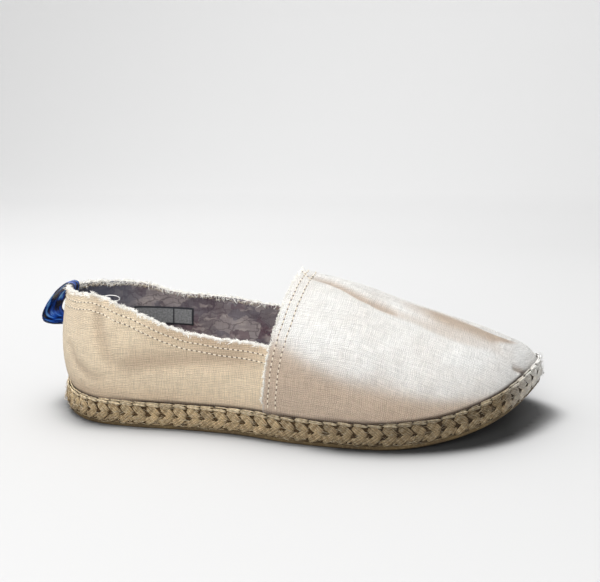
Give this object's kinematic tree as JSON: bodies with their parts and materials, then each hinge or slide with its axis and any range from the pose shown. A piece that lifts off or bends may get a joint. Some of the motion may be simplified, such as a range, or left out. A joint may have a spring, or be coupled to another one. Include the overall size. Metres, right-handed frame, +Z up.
{
  "type": "espadrille",
  "caption": "Right slip-on espadrille with a frayed canvas upper on a braided jute sole, thin rubber outsole, insole and ribbon pull tab.",
  "frame": {"origin": "on the floor under the middle of the shoe's bounding box", "axes": "+X from heel to toe, +Y to the inner side of the foot, +Z up"},
  "size_m": [0.2746, 0.1008, 0.0796],
  "materials": {
    "gum_rubber": "matte gum rubber, olive brown",
    "jute": "plaited natural jute, dry and fibrous",
    "canvas": "washed off-white cotton canvas with frayed raw edges",
    "insole_cloth": "soft printed cotton over foam",
    "ribbon": "glossy blue satin ribbon",
    "label_cloth": "bare woven label, no text"
  },
  "bodies": {
    "root": {"outsole": "gum_rubber", "jute_sole": "jute", "upper": "canvas", "insole": "insole_cloth", "pull_tab": "ribbon", "size_label": "label_cloth"}
  },
  "joints": []
}
